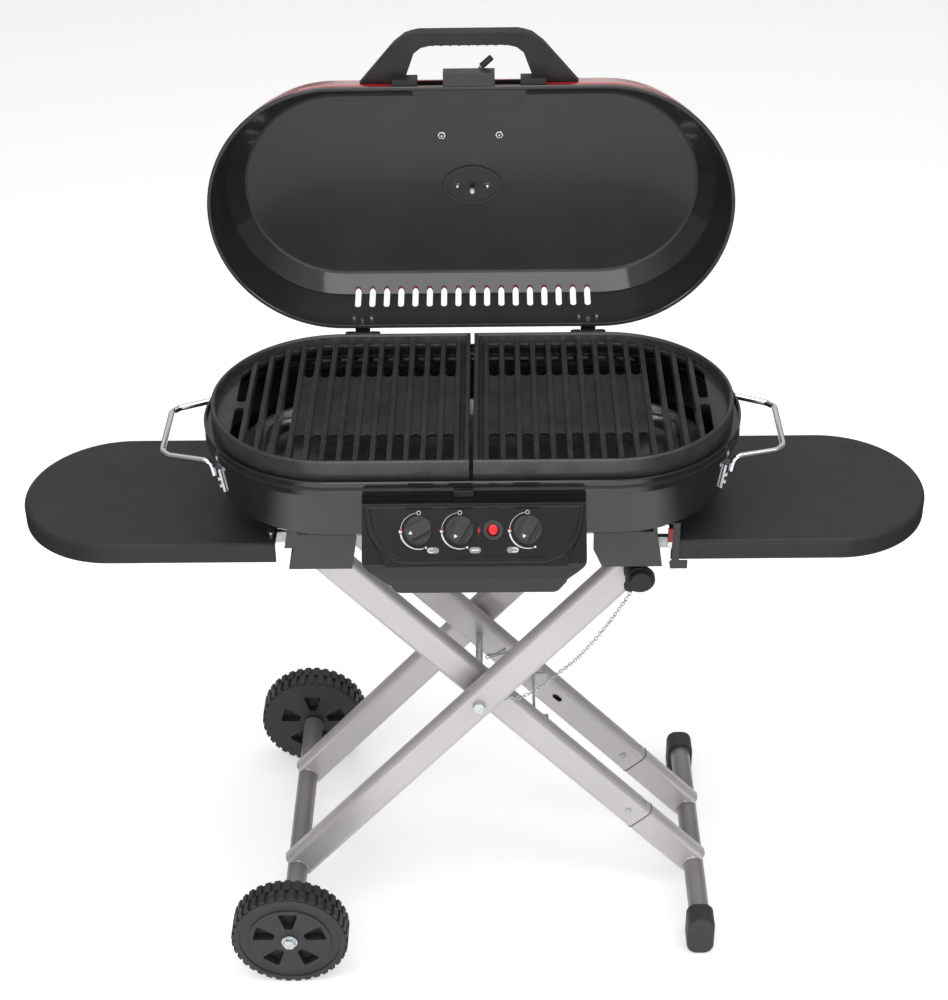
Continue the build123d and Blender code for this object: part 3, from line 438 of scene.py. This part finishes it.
# ---- weld beads ----

def weld(bm, centre, toward, radius, y, spread=84.0):
    """A rippled bead round a cross tube, on the side a leg comes from."""
    middle = math.atan2(toward.z, toward.x)
    points, radii = [], []
    steps = 44
    for k in range(steps + 1):
        a = middle + math.radians(spread) * (2 * k / steps - 1)
        reach = radius + 0.5 * MM + draws.uniform(-0.12, 0.12) * MM
        points.append(Vector((centre.x + reach * math.cos(a), y, centre.z + reach * math.sin(a))))
        taper = min(1.0, 4 * k / steps, 4 * (1 - k / steps))
        ripple = 1.0 + 0.16 * math.cos(math.pi * k) + draws.uniform(-0.08, 0.08)
        radii.append(max(0.25, 1.7 * taper * ripple) * MM)
    sweep_tube(bm, points, radii, 8)


def centre_of(name):
    """The middle of a CAD node's box."""
    low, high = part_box(name)
    return (low + high) / 2


pivot = Vector(joints["scissor_fold"]["pos_m"])
TUBE_R = 14.5 * MM
LEG_THICK = 25.0 * MM
for tube_name, legs_name, body in (("foot_tube", "inner_legs_lower", "inner_frame"),
                                   ("axle_tube", "outer_legs", "outer_frame")):
    middle = centre_of(tube_name)
    low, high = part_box(legs_name)
    toward = Vector((pivot.x - middle.x, 0, pivot.z - middle.z))
    beads = bmesh.new()
    for y in (low.y, low.y + LEG_THICK, high.y - LEG_THICK, high.y):
        weld(beads, middle, toward, TUBE_R, y)
    piece(f"welds_{tube_name}", beads, body, "leg_silver", weld_metal, smooth=180)


# ---- safety chain ----

CHAIN_BAND = 6 * MM


def chain_path():
    """Follows the CAD chain's centre line, from its lock end to the scissor pivot."""
    chain = frame["nodes"]["chain"].data
    points = sorted((v.co.copy() for v in chain.vertices), key=lambda p: -p.z)
    # A bar swept on a falling path: average its vertices in bands of path length.
    runs = {}
    for p in points:
        runs.setdefault(round((points[0] - p).length / CHAIN_BAND), []).append(p)
    return [sum(runs[k], Vector()) / len(runs[k]) for k in sorted(runs)]


def resample(line, step):
    """Even steps along a line, as (point, direction) pairs."""
    made, carry = [], 0.0
    for one, two in zip(line, line[1:]):
        span = (two - one).length
        while carry <= span:
            made.append((one.lerp(two, carry / span), (two - one).normalized()))
            carry += step
        carry -= span
    return made


def link(bm, centre, along, across, long, wide, wire):
    """One oval chain link."""
    points = []
    for k in range(20):
        a = 2 * math.pi * k / 20
        stretch = math.copysign((long - wide) / 2, math.cos(a)) if abs(math.cos(a)) > 1e-6 else 0.0
        points.append(centre + along * (wide / 2 * math.cos(a) + stretch) + across * (wide / 2 * math.sin(a)))
    sweep_tube(bm, points, wire, 6, closed=True)


LINK_LONG, LINK_WIDE, LINK_WIRE = 7.0 * MM, 4.4 * MM, 0.62 * MM
LINK_TWIST = 35
links = bmesh.new()
for k, (point, along) in enumerate(resample(chain_path(), LINK_LONG - 2.6 * LINK_WIRE)):
    side = along.cross(Vector((0, 1, 0))).normalized()
    other = along.cross(side)
    twist = math.radians(90 * (k % 2) + LINK_TWIST + draws.uniform(-9, 9))
    across = side * math.cos(twist) + other * math.sin(twist)
    link(links, point, along, across, LINK_LONG, LINK_WIDE, LINK_WIRE)
chain_links = piece("chain_links", links, "outer_frame", "zinc", smooth=180)
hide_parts("chain")


# ---- thermometer ----

lid_out = Vector(joints["latch_swing"]["axis"]).normalized()
probe_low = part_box("thermometer")[0]
plate_mid = centre_of("thermometer_plate")
probe_tip = plate_mid + lid_out * ((probe_low.y - plate_mid.y) / lid_out.y)
probe = bmesh.new()
cap = [probe_tip + lid_out * (d * MM) for d in (7.0, 2.2, 1.0, -0.2, -1.0, -1.4)]
sweep_tube(probe, cap, [r * MM for r in (3.1, 3.1, 3.0, 2.5, 1.6, 0.5)], 16)
piece("probe_cap", probe, "lid", "satin_black", print_white)


TICKS, TICK_STEP, TICK_START = 31, 9, 135
TICK_LONG, TICK_SHORT = 3.6 * MM, 2.0 * MM
PRINT_HIGH = 0.33 * MM
NEEDLE_AT = 128
glass_low, glass_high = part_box("dial_glass")
glass_r = (glass_high.x - glass_low.x) / 2
lid_up = lid_out.cross(Vector((-1, 0, 0)))
dial_floor = (glass_low + glass_high) / 2 - lid_out * (1.45 * MM)
basis = Matrix((Vector((-1, 0, 0)), lid_up, lid_out)).transposed().to_4x4()
dial_place = Matrix.Translation(dial_floor) @ basis
face, ticks, needle, hot = bmesh.new(), bmesh.new(), bmesh.new(), bmesh.new()
plate(face, disc(0, 0, glass_r - 0.4 * MM, 64), dial_place, 0.25 * MM)
for k in range(TICKS):
    turned = dial_place @ Matrix.Rotation(math.radians(TICK_START - TICK_STEP * k), 4, "Z")
    long, wide = (TICK_LONG, 0.3 * MM) if k % 5 == 0 else (TICK_SHORT, 0.15 * MM)
    top = glass_r - 2.2 * MM
    plate(ticks, [(-wide, top - long), (wide, top - long), (wide, top), (-wide, top)], turned, PRINT_HIGH)
plate(hot, band(glass_r - 8.2 * MM, -60, -132, 1.6 * MM, 1.6 * MM), dial_place, PRINT_HIGH)
pointing = dial_place @ Matrix.Rotation(math.radians(NEEDLE_AT), 4, "Z")
plate(needle, [(-0.9 * MM, -5 * MM), (0.9 * MM, -5 * MM), (0.25 * MM, 15 * MM), (-0.25 * MM, 15 * MM)],
      pointing, 0.75 * MM)
plate(needle, disc(0, 0, 2.2 * MM), dial_place, 0.95 * MM)
piece("dial_card", face, "lid", "satin_black", dial_face)
piece("dial_ticks", ticks, "lid", "satin_black", finishes["satin_black"])
piece("dial_hot_band", hot, "lid", "satin_black", print_red)
piece("dial_needle", needle, "lid", "satin_black", finishes["satin_black"])


def lens(place, radius, thick, rise, rings=8, sides=64):
    """A slightly domed glass disc."""
    bm = bmesh.new()

    def loop_at(r, z):
        turns = (2 * math.pi * k / sides for k in range(sides))
        return [bm.verts.new(place @ Vector((r * math.cos(a), r * math.sin(a), z))) for a in turns]

    loops = [loop_at(radius, 0)]
    for ring in range(rings):
        share = 1 - ring / rings
        loops.append(loop_at(radius * share, thick + rise * (1 - share * share)))
    for one, two in zip(loops, loops[1:]):
        for k in range(sides):
            n = (k + 1) % sides
            bm.faces.new((one[k], one[n], two[n], two[k]))
    bm.faces.new(loops[0][::-1])
    crown = bm.verts.new(place @ Vector((0, 0, thick + rise)))
    for k in range(sides):
        bm.faces.new((loops[-1][k], loops[-1][(k + 1) % sides], crown))
    return bm


glass = lens(dial_place @ Matrix.Translation((0, 0, 1.3 * MM)), glass_r, 0.9 * MM, 0.6 * MM)
glass_piece = piece("dial_lens", glass, "lid", "dial_glass", smooth=30)
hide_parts("dial_glass")


# ---- small fittings on the stand ----

LEG_TALL = 45.0 * MM
LEG_ROUND = 9.0 * MM
SEAM_ALONG = 336.0 * MM
SEAM_LINE = 0.75 * MM
CLIP_WIRE = 0.9 * MM
CLIP_LOOP = 2.6 * MM
TONGUE_THICK = 1.1 * MM
foot_mid = centre_of("foot_tube")
down_leg = Vector((foot_mid.x - pivot.x, 0, foot_mid.z - pivot.z)).normalized()
over_leg = Vector((-down_leg.z, 0, down_leg.x))


def leg_loop(centre, grow=0.0):
    """Points round a leg's rounded section."""
    points = []
    half_y, half_t = LEG_THICK / 2 - LEG_ROUND, LEG_TALL / 2 - LEG_ROUND
    for corner, (sy, st) in enumerate(((1, 1), (-1, 1), (-1, -1), (1, -1))):
        for k in range(7):
            a = math.radians(90 * corner + 15 * k)
            y = sy * half_y + (LEG_ROUND + grow) * math.cos(a)
            t = st * half_t + (LEG_ROUND + grow) * math.sin(a)
            points.append(centre + Vector((0, y, 0)) + over_leg * t)
    return points


legs_low, legs_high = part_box("inner_legs_upper")
leg_ys = (legs_low.y + LEG_THICK / 2, legs_high.y - LEG_THICK / 2)
seams = bmesh.new()
for y in leg_ys:
    middle = Vector((pivot.x, y, pivot.z)) + down_leg * SEAM_ALONG
    sweep_tube(seams, leg_loop(middle, 0.1 * MM), SEAM_LINE, 8, closed=True)
piece("leg_seams", seams, "inner_frame", "knob_black", smooth=180)

# A wire hairpin that keeps the two lengths of the rear inner leg together.
clip = bmesh.new()
clip_y = leg_ys[1] - LEG_THICK / 2 - 1.3 * MM
clip_from = Vector((pivot.x, clip_y, pivot.z)) + Vector((12.0, 0, -43.0)) * MM
clip_run = Vector((28.5, 0, 10.5)) * MM
clip_side = Vector((-10.5, 0, 28.5)).normalized()
wire = [clip_from + clip_run * t for t in (1.0, 0.75, 0.5, 0.25, 0.08)]
loop_mid = clip_from + clip_side * CLIP_LOOP
for k in range(1, 12):
    a = math.radians(270 - 25 * k)
    along = clip_run.normalized() * (CLIP_LOOP * math.cos(a))
    wire.append(loop_mid + along + clip_side * (CLIP_LOOP * math.sin(a)))
for t, lift in ((0.2, 4.4), (0.4, 2.4), (0.55, 3.6), (0.75, 5.2), (0.95, 6.6)):
    wire.append(clip_from + clip_run * t + clip_side * (lift * MM))
sweep_tube(clip, wire, CLIP_WIRE, 8)
piece("leg_hairpin", clip, "inner_frame", "zinc", smooth=180)

# The bright tongue of the table catch, below its red tab.
tab_low, tab_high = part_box("catch_tab")
tongue = bmesh.new()
upright = Matrix((Vector((1, 0, 0)), Vector((0, 0, 1)), Vector((0, -1, 0)))).transposed().to_4x4()
tongue_at = Matrix.Translation((tab_low.x, tab_high.y, tab_low.z)) @ upright
hook = [(1.0, 0.8), (-0.4, -5.0), (1.2, -8.6), (3.2, -10.8), (5.6, -11.0), (5.8, 0.8)]
plate(tongue, [(x * MM, z * MM) for x, z in hook], tongue_at, TONGUE_THICK)
piece("catch_tongue", tongue, "grill_head", "zinc")


# ---- stage, light and camera ----

PALE = (0.86, 0.86, 0.86)
# Painted shade: the dark colour the floor's sides take in glossy reflections, standing in for a studio's black
# flags.
REFLECTION_SHADE_COLOUR = (0.03, 0.03, 0.03)
FLOOR_GLOW, CAMERA_GLOW = 0.13, 0.24


def floor_finish():
    """Near white; in glossy reflections its sides are painted dark, a painted shade that stands in for a studio's
    black flags.
    """
    material = finish_of("floor_pale", PALE, 0.65, tone=0.01, bump=0.02)
    tree = material.node_tree
    shader = tree.nodes["Principled BSDF"]
    aside = maths(tree, "ABSOLUTE", axis_of(tree, source(tree, "ShaderNodeNewGeometry", "Position"), "X"))
    # Painted shade in reflections: away from the middle, glossy rays see the floor dark, so glossy parts show
    # painted dark reflections at their ends.
    side_shade_ramp = remap(tree, aside, 0, 1, 0.72, 0.95)
    painted_reflection_shade = maths(tree, "MULTIPLY", side_shade_ramp, source(tree, "ShaderNodeLightPath", "Is Glossy Ray"))
    tree.links.new(blended(tree, painted_reflection_shade, PALE, REFLECTION_SHADE_COLOUR), shader.inputs["Base Color"])
    shader.inputs["Emission Color"].default_value = (1, 1, 1, 1)
    # The glow is taken away wherever this painted shade is seen in reflections.
    glow_beside_painted_shade = remap(tree, painted_reflection_shade, FLOOR_GLOW, 0.0, 0.0, 1.0)
    seen = remap(tree, source(tree, "ShaderNodeLightPath", "Is Camera Ray"), 0.0, CAMERA_GLOW, 0.0, 1.0)
    tree.links.new(maths(tree, "ADD", glow_beside_painted_shade, seen), shader.inputs["Emission Strength"])
    return material


FLOOR_REACH = 14.0


def add_floor():
    """A wide pale ground."""
    bm = bmesh.new()
    for x, y in ((-1, -1), (1, -1), (1, 1), (-1, 1)):
        bm.verts.new((x * FLOOR_REACH, y * FLOOR_REACH, 0.0))
    bm.faces.new(bm.verts)
    mesh = bpy.data.meshes.new("floor")
    bm.to_mesh(mesh)
    bm.free()
    made = bpy.data.objects.new("floor", mesh)
    bpy.context.scene.collection.objects.link(made)
    mesh.materials.append(floor_finish())


def soft_light(name, place, target, size, power, mirrored=True):
    """A large soft lamp aimed at a point; mirrored says whether glossy faces show it."""
    lamp = bpy.data.lights.new(name, "AREA")
    lamp.shape = "RECTANGLE"
    lamp.size, lamp.size_y = size
    lamp.energy = power
    made = bpy.data.objects.new(name, lamp)
    made.location = place
    made.rotation_mode = "QUATERNION"
    made.rotation_quaternion = (Vector(target) - Vector(place)).to_track_quat("-Z", "Y")
    made.visible_glossy = mirrored
    bpy.context.scene.collection.objects.link(made)


CAMERA_PLACE = (0.03174, -2.158405, 2.08877)
CAMERA_TURN = (-0.0145, 0.5925, -0.0164)
CAMERA_LENS = 70.70


def add_camera():
    """The photograph's viewpoint, in the row frame."""
    yaw, pitch, roll = CAMERA_TURN
    forward = Vector((math.sin(yaw) * math.cos(pitch), math.cos(yaw) * math.cos(pitch), -math.sin(pitch)))
    level = Vector((math.cos(yaw), -math.sin(yaw), 0.0))
    upward = level.cross(forward)
    right = math.cos(roll) * level + math.sin(roll) * upward
    up = -math.sin(roll) * level + math.cos(roll) * upward
    data = bpy.data.cameras.new("camera")
    data.sensor_width = 36.0
    data.lens = CAMERA_LENS
    made = bpy.data.objects.new("camera", data)
    basis = Matrix((right, up, -forward)).transposed().to_4x4()
    made.matrix_world = Matrix.Translation(CAMERA_PLACE) @ basis
    bpy.context.scene.collection.objects.link(made)
    bpy.context.scene.camera = made


def add_room():
    """Even light from the front, back and top, and little from the sides."""
    world = bpy.data.worlds.new("studio")
    world.use_nodes = True
    tree = world.node_tree
    aside = maths(tree, "ABSOLUTE", axis_of(tree, source(tree, "ShaderNodeTexCoord", "Generated"), "X"))
    background = tree.nodes["Background"]
    background.inputs["Color"].default_value = (1, 1, 1, 1)
    tree.links.new(remap(tree, aside, 0.62, 0.2, 0.4, 0.75), background.inputs["Strength"])
    bpy.context.scene.world = world


add_floor()
soft_light("top_soft", (0.2, -0.3, 3.4), (0, 0, 0.6), (3.2, 2.6), 50)
soft_light("left_soft", (-2.6, -1.6, 2.0), (0, 0, 0.7), (1.4, 2.2), 30, mirrored=False)
soft_light("right_soft", (2.6, -1.2, 2.2), (0, 0, 0.7), (1.2, 2.2), 22, mirrored=False)
soft_light("front_soft", (0.0, -3.2, 1.1), (0, 0, 0.5), (3.0, 1.4), 40)
add_room()
bpy.context.scene.view_settings.view_transform = "Standard"
add_camera()
